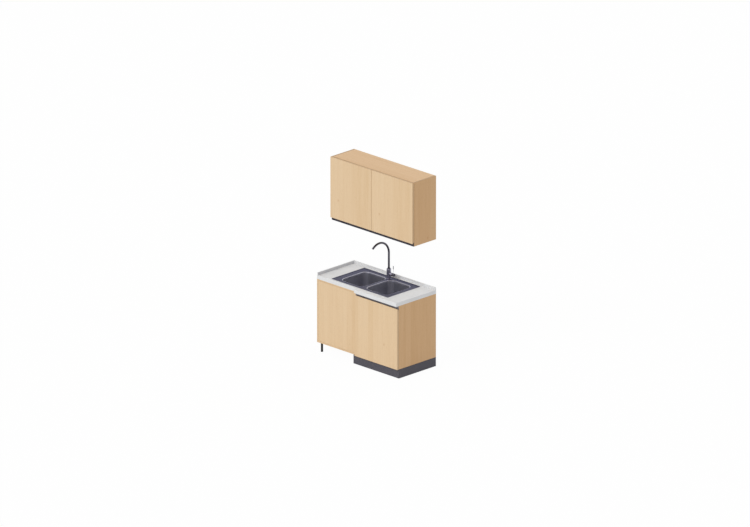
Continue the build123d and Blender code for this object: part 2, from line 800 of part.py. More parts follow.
# Mixer knob, turned for temperature, with the slot and pin that carry the flow lever
knob_start = arm_end + face_play
knob_middle = knob_start + knob_length / 2
slot_floor = mixer_z + knob_radius - lever_slot_depth
hub_z = slot_floor + lever_hub_radius + face_play
with BuildPart() as mixer_knob:
    with BuildSketch(Plane.YZ.offset(knob_start)):
        with Locations((tap_y, mixer_z)):
            Circle(knob_radius)
    extrude(amount=knob_length)
    fillet(mixer_knob.edges().group_by(Axis.X)[-1], knob_round)
    with BuildSketch(Plane.YZ.offset(knob_start)):
        with Locations((tap_y, mixer_z)):
            Circle(knob_pivot_radius)
    extrude(amount=-knob_pivot_depth)
    with BuildSketch(Plane.XY.offset(slot_floor)):
        with Locations((knob_middle, tap_y)):
            Rectangle(lever_slot_length, lever_slot_width)
    extrude(amount=lever_slot_depth, mode=Mode.SUBTRACT)
    with BuildSketch(Plane.XZ.offset(-tap_y)):
        with Locations((knob_middle, hub_z)):
            Circle(lever_pin_radius)
    extrude(amount=lever_slot_width / 2 + lever_pin_radius, both=True)
keep(mixer_knob, "mixer_knob")

with BuildPart() as mixer_lever:
    with BuildSketch(Plane.XY.offset(hub_z)):
        with Locations((knob_middle, tap_y)):
            Circle(lever_stem_radius)
    extrude(amount=lever_length - lever_grip_length)
    with BuildSketch(Plane.XY.offset(hub_z + lever_length - lever_grip_length)):
        with Locations((knob_middle, tap_y)):
            Circle(lever_grip_radius)
    extrude(amount=lever_grip_length)
    fillet(mixer_lever.edges().group_by(Axis.Z)[-1], lever_stem_radius / 2)
    with BuildSketch(Plane.XZ.offset(-tap_y)):
        with Locations((knob_middle, hub_z)):
            Circle(lever_hub_radius)
    extrude(amount=lever_slot_width / 2 - lever_hub_play, both=True)
    with BuildSketch(Plane.XZ.offset(-tap_y)):
        with Locations((knob_middle, hub_z)):
            Circle(lever_pin_radius + running_play)
    extrude(amount=lever_slot_width / 2, both=True, mode=Mode.SUBTRACT)
keep(mixer_lever, "mixer_lever")


def make_door(name, low_x, high_x, back, flat_z, grip_z, cups):
    # a board whose grip edge, at grip_z, is cut back at an angle behind the face,
    # with the recesses for its hinge cups
    face = back - door_thickness
    towards_grip = 1 if grip_z > flat_z else -1
    with BuildPart() as door:
        with BuildSketch(Plane.YZ.offset(low_x)):
            with BuildLine():
                Polyline((back, flat_z), (face, flat_z), (face, grip_z), (back - grip_bevel, grip_z),
                         (back, grip_z - towards_grip * grip_bevel), close=True)
            make_face()
        extrude(amount=high_x - low_x)
        fillet(door.faces().sort_by(Axis.Y)[0].edges(), door_edge_round)
        with BuildSketch(Plane.XZ.offset(-back)):
            with Locations(*cups):
                Circle(hinge_cup_radius + hinge_cup_play)
        extrude(amount=hinge_cup_depth + hinge_cup_play, mode=Mode.SUBTRACT)
    keep(door, name)


def make_hinge_cups(name, back, cups):
    # hollow cups let into a door's back, each with the flange that is screwed to it
    with BuildPart() as hinge_cups:
        with BuildSketch(Plane.XZ.offset(-back)):
            with Locations(*cups):
                Circle(hinge_cup_radius)
        extrude(amount=hinge_cup_depth)
        with BuildSketch(Plane.XZ.offset(-back)):
            with Locations(*cups):
                Circle(hinge_cup_radius)
                RectangleRounded(hinge_flange_width, hinge_flange_length, hinge_flange_corner)
        extrude(amount=-hinge_flange_sheet)
        with BuildSketch(Plane.XZ.offset(-back - hinge_flange_sheet)):
            with Locations(*cups):
                Circle(hinge_cup_radius - hinge_cup_wall)
        extrude(amount=hinge_cup_depth + hinge_flange_sheet - hinge_cup_wall, mode=Mode.SUBTRACT)
    keep(hinge_cups, name)


# Doors with their hinge cups: the base door, and the pair of the wall unit
base_hinge_heights = (base_bottom_z + hinge_end_distance, base_door_top - hinge_end_distance)
wall_hinge_heights = (wall_door_bottom + hinge_end_distance, wall_top_z - hinge_end_distance)
right_cup_x = right - hinge_cup_inset
left_cup_x = left + hinge_cup_inset
base_cups = [(right_cup_x, z) for z in base_hinge_heights]
wall_left_cups = [(left_cup_x, z) for z in wall_hinge_heights]
wall_right_cups = [(right_cup_x, z) for z in wall_hinge_heights]
half_joint = door_joint / 2
make_door("base_door", base_door_left, right, base_door_back, base_bottom_z, base_door_top, base_cups)
make_door("wall_door_left", left, -half_joint, wall_door_back, wall_top_z, wall_door_bottom, wall_left_cups)
make_door("wall_door_right", half_joint, right, wall_door_back, wall_top_z, wall_door_bottom, wall_right_cups)
make_hinge_cups("base_door_hinge_cups", base_door_back, base_cups)
make_hinge_cups("wall_left_hinge_cups", wall_door_back, wall_left_cups)
make_hinge_cups("wall_right_hinge_cups", wall_door_back, wall_right_cups)


def arm_outline(edge_x, inward, front):
    # plan of a hinge arm: it stands on its plate and its nose reaches into the cup
    near = edge_x + inward * (board + plate_thickness)
    far = near + inward * arm_thickness
    nose_side = (arm_thickness - arm_nose_thickness) / 2
    nose_end = front - door_gap - arm_nose
    Polyline((near, front + arm_length), (far, front + arm_length), (far, front + door_gap),
             (far - inward * nose_side, front), (far - inward * nose_side, nose_end),
             (near + inward * nose_side, nose_end), (near + inward * nose_side, front),
             (near, front + door_gap), close=True)


def hinge_arms(sides, front, heights):
    # arms with their plates on the inner faces of the sides
    with BuildPart() as arms:
        for edge_x, inward in sides:
            for z in heights:
                with BuildSketch(Plane.XY.offset(z - arm_height / 2)):
                    with BuildLine():
                        arm_outline(edge_x, inward, front)
                    make_face()
                extrude(amount=arm_height)
                wall_x = edge_x + inward * board
                with BuildSketch(Plane.YZ.offset(wall_x)):
                    with Locations((front + arm_length - plate_length / 2, z)):
                        RectangleRounded(plate_length, plate_height, plate_thickness)
                extrude(amount=inward * plate_thickness)
    return arms


keep(hinge_arms([(right, -1)], base_front, base_hinge_heights), "base_hinge_arms")
keep(hinge_arms([(left, 1), (right, -1)], wall_front, wall_hinge_heights), "wall_hinge_arms")

# Bumpers on the carcass edges that the free edges of the doors close against
bumper_places = [(blind_right - blind_lap / 2, z, base_front)
                 for z in (base_bottom_z + bumper_end_distance, base_door_top - bumper_end_distance)]
bumper_places += [(side * (half_joint + bumper_radius), z, wall_front) for side in (-1, 1)
                  for z in (wall_door_bottom + bumper_end_distance, wall_top_z - bumper_end_distance - board)]
with BuildPart() as door_bumpers:
    for x, z, front in bumper_places:
        with BuildSketch(Plane.XZ.offset(-front)):
            with Locations((x, z)):
                Circle(bumper_radius)
        extrude(amount=door_gap - bumper_play)
keep(door_bumpers, "door_bumpers")

# Wall unit: sides with the grooves and the rows of shelf-pin holes
shelf_z = (wall_unit_bottom + wall_top_z) / 2
pin_ys = (back_plane - shelf_pin_inset, wall_front + shelf_setback + shelf_pin_inset)
pin_z = shelf_z - board / 2 - shelf_pin_radius
pin_places = [(y, pin_z) for y in pin_ys]
for name, low_x, inner_x, inward in (("wall_side_left", left, inner_left, 1),
                                     ("wall_side_right", inner_right, inner_right, -1)):
    with BuildPart() as wall_side:
        with BuildSketch(Plane.XY.offset(wall_unit_bottom)):
            between(low_x, low_x + board, wall_front, wall_y)
            groove_x = inner_x - inward * groove_depth / 2
            with Locations((groove_x, back_plane - back_board / 2)):
                Rectangle(groove_depth, back_board, mode=Mode.SUBTRACT)
        extrude(amount=wall_unit_height)
        with BuildSketch(Plane.YZ.offset(inner_x)):
            with Locations(*pin_places):
                Circle(shelf_pin_radius + shelf_pin_play)
        extrude(amount=-inward * (shelf_pin_depth + shelf_pin_play), mode=Mode.SUBTRACT)
    keep(wall_side, name)

wall_top_board = wall_top_z - board
wall_floor = wall_unit_bottom + board
with BuildPart() as wall_top:
    with BuildSketch(Plane.XY.offset(wall_top_board)):
        between(inner_left, inner_right, wall_front, wall_y)
    extrude(amount=board)
keep(wall_top, "wall_top")

with BuildPart() as wall_bottom:
    with BuildSketch(Plane.XY.offset(wall_unit_bottom)):
        between(inner_left, inner_right, wall_front, wall_y)
    extrude(amount=board)
keep(wall_bottom, "wall_bottom")

# Hanging rail on the wall, and the hangers whose hooks pass through the back board to its lip
rail_low = wall_top_board - hanger_from_top - rail_height
rail_lip_low = rail_low + rail_height - rail_lip
rail_high = rail_low + rail_height
hook_low = rail_high + rail_play
hook_high = hook_low + hanger_hook_sheet
with BuildPart() as hanging_rail:
    with BuildSketch(Plane.YZ.offset(inner_left + rail_margin)):
        between(wall_y - rail_sheet, wall_y, rail_low, rail_lip_low + rail_sheet)
        between(wall_y - rail_step, wall_y, rail_lip_low, rail_lip_low + rail_sheet)
        between(wall_y - rail_step, wall_y - rail_step + rail_sheet, rail_lip_low, rail_high)
    extrude(amount=inner_right - inner_left - 2 * rail_margin)
    with BuildSketch(Plane.XZ.offset(-wall_y)):
        with Locations((0, (rail_low + rail_lip_low) / 2)):
            with GridLocations(rail_hole_spacing, 0, 2, 1):
                Circle(rail_hole_radius)
    extrude(amount=rail_sheet, mode=Mode.SUBTRACT)
keep(hanging_rail, "hanging_rail")

hanger_top = hook_high + (hanger_height - rail_height) / 2
hanger_front = back_plane - back_board
with BuildPart() as hangers:
    for side_x, inward in ((inner_left, 1), (inner_right, -1)):
        with BuildSketch(Plane.YZ.offset(side_x)):
            between(hanger_front - hanger_depth, hanger_front, hanger_top - hanger_height, hanger_top)
        extrude(amount=inward * hanger_width)
        with BuildSketch(Plane.YZ.offset(side_x + inward * (hanger_width - hanger_hook_width) / 2)):
            hook_tip = wall_y - rail_step + rail_sheet + rail_play
            between(hanger_front, hook_tip + hanger_hook_sheet, hook_low, hook_high)
            between(hook_tip, hook_tip + hanger_hook_sheet, rail_lip_low + 2 * rail_sheet, hook_low)
        extrude(amount=inward * hanger_hook_width)
keep(hangers, "hangers")

with BuildPart() as wall_back:
    with BuildSketch(Plane.XZ.offset(groove_play - back_plane)):
        between(back_left, back_right, wall_floor, wall_top_board)
        for side_x in (inner_left, inner_right):
            with Locations((side_x, (rail_lip_low + hook_high + rail_play) / 2)):
                Rectangle(2 * hanger_width, hook_high + rail_play - rail_lip_low, mode=Mode.SUBTRACT)
    extrude(amount=back_board - 2 * groove_play)
keep(wall_back, "wall_back")

with BuildPart() as wall_divider:
    with BuildSketch(Plane.XY.offset(wall_floor)):
        between(-board / 2, board / 2, wall_front, back_plane - back_board + groove_play)
    extrude(amount=wall_top_board - wall_floor)
    with BuildSketch(Plane.YZ):
        with Locations(*pin_places):
            Circle(shelf_pin_radius + shelf_pin_play)
    extrude(amount=board / 2, both=True, mode=Mode.SUBTRACT)
keep(wall_divider, "wall_divider")

bays = ((inner_left, -board / 2), (board / 2, inner_right))
for name, (low_x, high_x) in zip(("wall_shelf_left", "wall_shelf_right"), bays):
    with BuildPart() as wall_shelf:
        with BuildSketch(Plane.XY.offset(shelf_z - board / 2)):
            between(low_x + shelf_play, high_x - shelf_play, wall_front + shelf_setback,
                    back_plane - back_board - shelf_play)
        extrude(amount=board)
    keep(wall_shelf, name)

with BuildPart() as shelf_pins:
    for low_x, high_x in bays:
        for face_x, inward in ((low_x, 1), (high_x, -1)):
            with BuildSketch(Plane.YZ.offset(face_x - inward * shelf_pin_depth)):
                with Locations(*pin_places):
                    Circle(shelf_pin_radius)
            extrude(amount=inward * (shelf_pin_depth + shelf_pin_reach))
keep(shelf_pins, "shelf_pins")

with BuildPart() as wall_grip_profile:
    with BuildSketch(Plane.YZ.offset(left)):
        grip_section(wall_front, wall_unit_bottom, wall_door_bottom + profile_lap)
    extrude(amount=unit_width)
keep(wall_grip_profile, "wall_grip_profile")
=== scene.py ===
import json
from math import cos, pi, radians, sin

import bmesh
import bpy
from mathutils import Matrix, Vector


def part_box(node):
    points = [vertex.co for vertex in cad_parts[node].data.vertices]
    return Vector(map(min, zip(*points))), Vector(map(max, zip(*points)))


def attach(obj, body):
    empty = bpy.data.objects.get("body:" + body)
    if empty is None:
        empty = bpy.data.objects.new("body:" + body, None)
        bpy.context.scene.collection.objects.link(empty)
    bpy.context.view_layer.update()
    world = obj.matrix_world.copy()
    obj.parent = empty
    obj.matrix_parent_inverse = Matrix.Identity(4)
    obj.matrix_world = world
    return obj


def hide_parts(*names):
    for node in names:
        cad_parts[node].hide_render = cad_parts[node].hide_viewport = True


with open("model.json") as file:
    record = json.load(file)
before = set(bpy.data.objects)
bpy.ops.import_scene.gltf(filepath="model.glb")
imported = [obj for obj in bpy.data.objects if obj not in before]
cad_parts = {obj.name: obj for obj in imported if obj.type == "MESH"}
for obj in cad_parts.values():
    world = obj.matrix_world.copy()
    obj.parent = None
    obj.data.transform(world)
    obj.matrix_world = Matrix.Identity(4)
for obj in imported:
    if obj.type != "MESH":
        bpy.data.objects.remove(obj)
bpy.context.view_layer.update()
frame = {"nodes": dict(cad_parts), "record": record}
scene = bpy.context.scene
nodes = frame["nodes"]
mm = 0.001


# Camera and light

view = {
    "widthPx": 750, "heightPx": 527,
    "pxPerMetre": 95.9,
    "originPx": (375.04, 358.97),          # where the object's origin stands in the picture
    "azimuth": 45, "elevation": 19.471,
    "lens": 1000, "sensor": 36,
    "clip": (0.1, 3),                      # shares of the camera's distance
}


def addCamera():
    towards = Vector((sin(radians(view["azimuth"])), -cos(radians(view["azimuth"])), 0))
    back = towards * cos(radians(view["elevation"])) + Vector((0, 0, sin(radians(view["elevation"]))))
    across = Vector((0, 0, 1)).cross(back).normalized()
    upwards = back.cross(across)
    moveX = (view["widthPx"] / 2 - view["originPx"][0]) / view["pxPerMetre"]
    moveY = (view["originPx"][1] - view["heightPx"] / 2) / view["pxPerMetre"]
    aim = across * moveX + upwards * moveY
    distance = view["widthPx"] / view["pxPerMetre"] * view["lens"] / view["sensor"]
    data = bpy.data.cameras.new("camera")
    data.lens = view["lens"]
    data.sensor_width = view["sensor"]
    data.clip_start, data.clip_end = (share * distance for share in view["clip"])
    camera = bpy.data.objects.new("camera", data)
    scene.collection.objects.link(camera)
    camera.matrix_world = Matrix.Translation(aim + back * distance) @ Matrix(
        (across, upwards, back)).transposed().to_4x4()
    scene.camera = camera


light = {
    "sky": 0.70, "sunPower": 1.15, "sunSpread": 28,
    "sunFrom": (-0.06, -0.76, 0.60),
    "floorSize": 60, "floorTone": 0.86, "floorWhite": 0.97,
}


def seenRays(tree):
    # 1 for camera, mirror and glass rays, 0 for the light that falls on things
    path = tree.nodes.new("ShaderNodeLightPath")
    total = None
    for name in ("Is Camera Ray", "Is Glossy Ray", "Is Transmission Ray"):
        if total is None:
            total = path.outputs[name]
            continue
        either = tree.nodes.new("ShaderNodeMath")
        either.operation = "MAXIMUM"
        tree.links.new(total, either.inputs[0])
        tree.links.new(path.outputs[name], either.inputs[1])
        total = either.outputs[0]
    return total


def addLight():
    world = bpy.data.worlds.new("studio")
    scene.world = world
    world.use_nodes = True
    tree = world.node_tree
    tree.nodes.clear()
    out = tree.nodes.new("ShaderNodeOutputWorld")
    mix = tree.nodes.new("ShaderNodeMixShader")
    lit = tree.nodes.new("ShaderNodeBackground")
    lit.inputs["Color"].default_value = (1, 1, 1, 1)
    lit.inputs["Strength"].default_value = light["sky"]
    seen = tree.nodes.new("ShaderNodeBackground")
    seen.inputs["Color"].default_value = (1, 1, 1, 1)
    seen.inputs["Strength"].default_value = 1
    tree.links.new(seenRays(tree), mix.inputs[0])
    tree.links.new(lit.outputs[0], mix.inputs[1])
    tree.links.new(seen.outputs[0], mix.inputs[2])
    tree.links.new(mix.outputs[0], out.inputs[0])
    data = bpy.data.lights.new("sun", "SUN")
    data.energy = light["sunPower"]
    data.angle = radians(light["sunSpread"])
    sun = bpy.data.objects.new("sun", data)
    scene.collection.objects.link(sun)
    sun.rotation_euler = Vector(light["sunFrom"]).to_track_quat("Z", "Y").to_euler()


def addFloor():
    bm = bmesh.new()
    bmesh.ops.create_grid(bm, x_segments=1, y_segments=1, size=light["floorSize"])
    mesh = bpy.data.meshes.new("floor")
    bm.to_mesh(mesh)
    bm.free()
    floor = bpy.data.objects.new("floor", mesh)
    scene.collection.objects.link(floor)
    material = bpy.data.materials.new("floorWhite")
    material.use_nodes = True
    tree = material.node_tree
    tree.nodes.clear()
    out = tree.nodes.new("ShaderNodeOutputMaterial")
    matt = tree.nodes.new("ShaderNodeBsdfDiffuse")
    matt.inputs["Color"].default_value = (light["floorTone"],) * 3 + (1,)
    glow = tree.nodes.new("ShaderNodeEmission")
    glow.inputs["Strength"].default_value = 1
    share = tree.nodes.new("ShaderNodeMath")
    share.operation = "MULTIPLY"
    share.inputs[1].default_value = light["floorWhite"]
    mix = tree.nodes.new("ShaderNodeMixShader")
    tree.links.new(seenRays(tree), share.inputs[0])
    tree.links.new(share.outputs[0], mix.inputs[0])
    tree.links.new(matt.outputs[0], mix.inputs[1])
    tree.links.new(glow.outputs[0], mix.inputs[2])
    tree.links.new(mix.outputs[0], out.inputs[0])
    mesh.materials.append(material)


addCamera()
addLight()
addFloor()
scene.view_settings.view_transform = "Standard"
print("camera, light and floor are in")


# Materials

def newMaterial(name, **settings):
    # a Principled material, with what stays the same all over it set on the shader itself
    material = bpy.data.materials.new(name)
    material.use_nodes = True
    shader = material.node_tree.nodes["Principled BSDF"]
    for socket, value in settings.items():
        shader.inputs[socket.replace("_", " ")].default_value = value
    return material, material.node_tree, shader


def objectPattern(tree, stretch=(1, 1, 1), move=(0, 0, 0)):
    where = tree.nodes.new("ShaderNodeTexCoord")
    mapping = tree.nodes.new("ShaderNodeMapping")
    mapping.inputs["Scale"].default_value = stretch
    mapping.inputs["Location"].default_value = move
    tree.links.new(where.outputs["Object"], mapping.inputs["Vector"])
    return mapping.outputs["Vector"]


def noise(tree, vector, scale, detail, rough=0.55):
    node = tree.nodes.new("ShaderNodeTexNoise")
    node.inputs["Scale"].default_value = scale
    node.inputs["Detail"].default_value = detail
    node.inputs["Roughness"].default_value = rough
    tree.links.new(vector, node.inputs["Vector"])
    return node.outputs["Fac"]


def ramp(tree, value, stops):
    node = tree.nodes.new("ShaderNodeValToRGB")
    while len(node.color_ramp.elements) < len(stops):
        node.color_ramp.elements.new(0.5)
    for element, (place, colour) in zip(node.color_ramp.elements, stops):
        element.position = place
        element.color = tuple(colour) + (1,)
    tree.links.new(value, node.inputs["Fac"])
    return node.outputs["Color"]


def mixColour(tree, first, second, share, how="MIX"):
    node = tree.nodes.new("ShaderNodeMix")
    node.data_type = "RGBA"
    node.blend_type = how
    for value, socket in ((share, 0), (first, 6), (second, 7)):
        if isinstance(value, bpy.types.NodeSocket):
            tree.links.new(value, node.inputs[socket])
        elif socket == 0:
            node.inputs[socket].default_value = value
        else:
            node.inputs[socket].default_value = tuple(value) + (1,)
    return node.outputs[2]


def bump(tree, shader, height, strength, distance):
    node = tree.nodes.new("ShaderNodeBump")
    node.inputs["Strength"].default_value = strength
    node.inputs["Distance"].default_value = distance
    tree.links.new(height, node.inputs["Height"])
    tree.links.new(node.outputs["Normal"], shader.inputs["Normal"])


def roughness(tree, shader, value, low, high):
    node = tree.nodes.new("ShaderNodeMapRange")
    node.inputs["To Min"].default_value = low
    node.inputs["To Max"].default_value = high
    tree.links.new(value, node.inputs["Value"])
    tree.links.new(node.outputs["Result"], shader.inputs["Roughness"])


def srgb(red, green, blue):
    # a screen colour, from 0 to 255, as the shader takes it
    shares = [tone / 255 for tone in (red, green, blue)]
    return tuple(share / 12.92 if share < 0.04045 else ((share + 0.055) / 1.055) ** 2.4 for share in shares)


def grey(level):
    return (level,) * 3


oak = {
    "tones": [(0.18, srgb(210, 178, 136)), (0.5, srgb(220, 192, 155)), (0.82, srgb(226, 201, 167))],
    # the grain wanders sideways, and its pattern jumps from plank to plank
    "wander": {"width": 0.12, "ratio": 3.5, "detail": 2, "rough": 0.55, "reach": 0.016},
    "plank": {"width": 0.075, "uneven": 0.35, "contrast": 0.18, "jump": 7.0},
    "band": {"width": 0.055, "ratio": 26, "detail": 2, "rough": 0.55, "contrast": 0.28},
    "streak": {"width": 0.009, "ratio": 60, "detail": 4, "rough": 0.6, "contrast": 0.55},
    "pore": {"width": 0.0011, "ratio": 34, "detail": 2, "rough": 0.5, "colour": srgb(186, 148, 105),
             "full": 0.30, "none": 0.46, "share": 0.34},
    "knot": {"spacing": (0.33, 0.46), "size": 0.0075, "rim": 0.35, "fade": 2.4, "share": 0.5, "depth": 0.5,
             "colour": srgb(183, 134, 88)},
    "gloss": {"IOR": 1.42, "Specular_IOR_Level": 0.35}, "rough": (0.38, 0.52),
    "relief": (0.35, 0.00012),                           # strength and depth of the bump
    "edgeShade": {"X": 0.72, "Y": 0.64, "Z": 0.88},      # edge bands' brightness by their grain's axis: partly their own tone, partly painted shade
    "edgeWarm": {"X": 0.12, "Y": 0.15, "Z": 0.075},
    "paleEdge": {"shade": 0.95, "warm": 0.03}, "edgeMove": (0.2, 1.3, 0.7),
}


def maths(tree, kind, first, second=None, third=None):
    # one step of arithmetic, on sockets or plain numbers
    node = tree.nodes.new("ShaderNodeMath")
    node.operation = kind
    for socket, given in zip(node.inputs, (first, second, third)):
        if isinstance(given, bpy.types.NodeSocket):
            tree.links.new(given, socket)
        elif given is not None:
            socket.default_value = given
    return node.outputs[0]


def oakLaminate(name, along="Z", move=(0, 0, 0), shade=1.0, warm=0.0):
    # printed oak: planks and bands of tone, streaks, pores and a few small knots, all along the grain
    material, tree, shader = newMaterial(name, **oak["gloss"])
    place = tree.nodes.new("ShaderNodeSeparateXYZ")
    tree.links.new(objectPattern(tree, move=move), place.inputs[0])
    others = [axis for axis in "XYZ" if axis != along]
    across = maths(tree, "ADD", place.outputs[others[0]], place.outputs[others[1]])
    length = place.outputs[along]

    def spot(sideways, width, run, jump=None):
        # where a pattern is read, in its widths across the grain and its runs along it
        joined = tree.nodes.new("ShaderNodeCombineXYZ")
        tree.links.new(maths(tree, "DIVIDE", sideways, width), joined.inputs["X"])
        tree.links.new(maths(tree, "DIVIDE", length, run), joined.inputs["Y"])
        if jump is not None:
            tree.links.new(jump, joined.inputs["Z"])
        return joined.outputs[0]

    def grain(part, sideways, jump=None):
        vector = spot(sideways, part["width"], part["width"] * part["ratio"], jump)
        return noise(tree, vector, 1.0, detail=part["detail"], rough=part["rough"])

    drift = maths(tree, "MULTIPLY_ADD", grain(oak["wander"], across), oak["wander"]["reach"], across)
    plank = tree.nodes.new("ShaderNodeTexVoronoi")
    plank.voronoi_dimensions = "1D"
    plank.inputs["Scale"].default_value = 1 / oak["plank"]["width"]
    plank.inputs["Randomness"].default_value = oak["plank"]["uneven"]
    tree.links.new(across, plank.inputs["W"])
    plankTone = tree.nodes.new("ShaderNodeSeparateColor")
    tree.links.new(plank.outputs["Color"], plankTone.inputs[0])
    jump = maths(tree, "MULTIPLY", plankTone.outputs[0], oak["plank"]["jump"])
    band, streak, pore = (grain(oak[part], drift, jump) for part in ("band", "streak", "pore"))
    tone = 0.5      # each pattern moves the tone about the middle by its own contrast
    for pattern, part in ((plankTone.outputs[0], "plank"), (band, "band"), (streak, "streak")):
        contrast = oak[part]["contrast"]
        lowered = maths(tree, "SUBTRACT", tone, contrast / 2)
        tone = maths(tree, "MULTIPLY_ADD", pattern, contrast, lowered)
    colour = ramp(tree, tone, oak["tones"])
    pores = oak["pore"]
    poreDark = ramp(tree, pore, [(pores["full"], grey(1)), (pores["none"], grey(0))])
    colour = mixColour(tree, colour, pores["colour"], maths(tree, "MULTIPLY", poreDark, pores["share"]))

    knots = oak["knot"]
    cell = tree.nodes.new("ShaderNodeTexVoronoi")
    cell.voronoi_dimensions = "2D"
    cell.inputs["Scale"].default_value = 1
    tree.links.new(spot(drift, *knots["spacing"]), cell.inputs["Vector"])
    reach = knots["size"] / knots["spacing"][0]
    heart = ramp(tree, cell.outputs["Distance"],
                 [(0.0, grey(1)), (reach, grey(knots["rim"])), (knots["fade"] * reach, grey(0))])
    cellTone = tree.nodes.new("ShaderNodeSeparateColor")
    tree.links.new(cell.outputs["Color"], cellTone.inputs[0])
    kept = maths(tree, "GREATER_THAN", cellTone.outputs[1], knots["share"])
    knot = maths(tree, "MULTIPLY", heart, maths(tree, "MULTIPLY", kept, knots["depth"]))
    colour = mixColour(tree, colour, knots["colour"], knot)
    # this tint paints shade on the outer sides, and partly on the dark edge bands
    if shade != 1.0 or warm:
        tint = (shade, shade * (1 - warm), shade * (1 - 2 * warm))
        colour = mixColour(tree, colour, tint, 1.0, how="MULTIPLY")
    tree.links.new(colour, shader.inputs["Base Color"])
    roughness(tree, shader, streak, *oak["rough"])
    bump(tree, shader, pore, *oak["relief"])
    return material


worktopFinish = {
    "cloudScale": 6, "ground": [(0.3, srgb(217, 218, 219)), (0.7, srgb(223, 224, 225))],
    "fleck": {"scale": 900, "colour": srgb(198, 199, 201), "shares": [(0.60, grey(0)), (0.70, grey(0.25))]},
    "grain": {"scale": 260, "colour": srgb(229, 230, 231), "shares": [(0.52, grey(0)), (0.66, grey(0.3))],
              "stretch": (0.3, 1, 1)},
    "gloss": {"IOR": 1.45, "Specular_IOR_Level": 0.4}, "rough": (0.34, 0.5), "relief": (0.25, 0.0001),
}


def worktopLaminate(name, tint=None):
    # off-white laminate with a faint fleck and a fine matt texture
    material, tree, shader = newMaterial(name, **worktopFinish["gloss"])
    at = objectPattern(tree)
    along = objectPattern(tree, worktopFinish["grain"]["stretch"])
    fleck = noise(tree, at, worktopFinish["fleck"]["scale"], detail=2)
    grain = noise(tree, along, worktopFinish["grain"]["scale"], detail=3)
    colour = ramp(tree, noise(tree, at, worktopFinish["cloudScale"], detail=3), worktopFinish["ground"])
    for pattern, part in ((fleck, "fleck"), (grain, "grain")):
        share = ramp(tree, pattern, worktopFinish[part]["shares"])
        colour = mixColour(tree, colour, worktopFinish[part]["colour"], share)
    # the tint paints light on the worktop's top and shade on the left upstand's inner face
    if tint:
        colour = mixColour(tree, colour, tint, 1.0, how="MULTIPLY")
    tree.links.new(colour, shader.inputs["Base Color"])
    roughness(tree, shader, grain, *worktopFinish["rough"])
    bump(tree, shader, fleck, *worktopFinish["relief"])
    return material


patternSpan = (0.3, 0.7)      # a noise pattern seldom leaves this span


def unevenTone(tree, pattern, colour, contrast):
    # the colour, darker and paler by its contrast as the pattern goes
    dark = tuple(part * (1 - contrast) for part in colour)
    pale = tuple(min(1, part * (1 + contrast)) for part in colour)
    return ramp(tree, pattern, list(zip(patternSpan, (dark, pale))))


metal = {
    "lineScale": 24, "lineDetail": 4, "lineRough": 0.6, "lineShare": 0.6,
    "patchScale": 9, "patchShare": 0.4, "roughSpread": 0.06, "relief": (0.3, 0.00003),
}


def brushLines(tree, brush):
    return noise(tree, objectPattern(tree, brush), metal["lineScale"], detail=metal["lineDetail"],
                 rough=metal["lineRough"])


def brushedMetal(name, colour, rough, brush, metallic=1.0, contrast=0.08):
    # metal with fine lines along the axis where brush is smallest, or an even grain where it is the same
    material, tree, shader = newMaterial(name, Metallic=metallic)
    lines = brushLines(tree, brush)
    patches = noise(tree, objectPattern(tree), metal["patchScale"], detail=2)
    both = maths(tree, "MULTIPLY_ADD", patches, metal["patchShare"],
                 maths(tree, "MULTIPLY", lines, metal["lineShare"]))
    tree.links.new(unevenTone(tree, both, colour, contrast), shader.inputs["Base Color"])
    roughness(tree, shader, lines, rough - metal["roughSpread"], rough + metal["roughSpread"])
    bump(tree, shader, lines, *metal["relief"])
    return material


plastic = {
    "cloudScale": 30, "smoother": 0.05, "rougher": 0.07, "relief": (0.3, 0.00004),
    "gloss": {"IOR": 1.46, "Specular_IOR_Level": 0.4},
}


def mouldedPlastic(name, colour, rough=0.45, grain=1400, contrast=0.06):
    # plastic with a fine spark-eroded texture and a little unevenness of tone
    material, tree, shader = newMaterial(name, **plastic["gloss"])
    skin = noise(tree, objectPattern(tree), grain, detail=2)
    cloud = noise(tree, objectPattern(tree), plastic["cloudScale"], detail=3)
    tree.links.new(unevenTone(tree, cloud, colour, contrast), shader.inputs["Base Color"])
    roughness(tree, shader, cloud, rough - plastic["smoother"], rough + plastic["rougher"])
    bump(tree, shader, skin, *plastic["relief"])
    return material


sinkFinish = {
    # one steel in tones by height: the mouth line is a painted highlight, the roll band painted shade, and the
    # bowls' paler tone painted light
    "deck": srgb(70, 70, 96), "mouthHighlight": srgb(205, 206, 218), "rollShade": srgb(112, 112, 124),
    "bowlLit": srgb(170, 170, 180), "brush": (1, 40, 40), "rough": (0.40, 0.50),
    "streaks": (0.90, 1.0),                        # the colour's share in the dark lines and between them
    "span": 24 * mm,                               # how far below the deck the last of these heights is
    "heights": {"deck": (0.0, 0.1 * mm), "mouthHighlight": (0.3 * mm, 1.7 * mm), "rollShade": (2.8 * mm, 9 * mm),
                "bowlLit": (14 * mm, 24 * mm)},
}


def sinkSteelFinish(deckTop):
    # dark brushed deck, a painted highlight where it starts to roll over, a band of painted shade below it,
    # and the bowls below that in a paler tone, which is painted light
    material, tree, shader = newMaterial("sinkSteel", Metallic=1.0)
    lines = brushLines(tree, sinkFinish["brush"])
    height = tree.nodes.new("ShaderNodeSeparateXYZ")
    tree.links.new(objectPattern(tree), height.inputs[0])
    below = maths(tree, "SUBTRACT", deckTop, height.outputs["Z"])
    stops = [(depth / sinkFinish["span"], sinkFinish[part])
             for part, depths in sinkFinish["heights"].items() for depth in depths]
    colour = ramp(tree, maths(tree, "DIVIDE", below, sinkFinish["span"]), stops)
    streaks = ramp(tree, lines, list(zip(patternSpan, map(grey, sinkFinish["streaks"]))))
    colour = mixColour(tree, colour, streaks, 1.0, how="MULTIPLY")
    tree.links.new(colour, shader.inputs["Base Color"])
    roughness(tree, shader, lines, *sinkFinish["rough"])
    bump(tree, shader, lines, *metal["relief"])
    return material


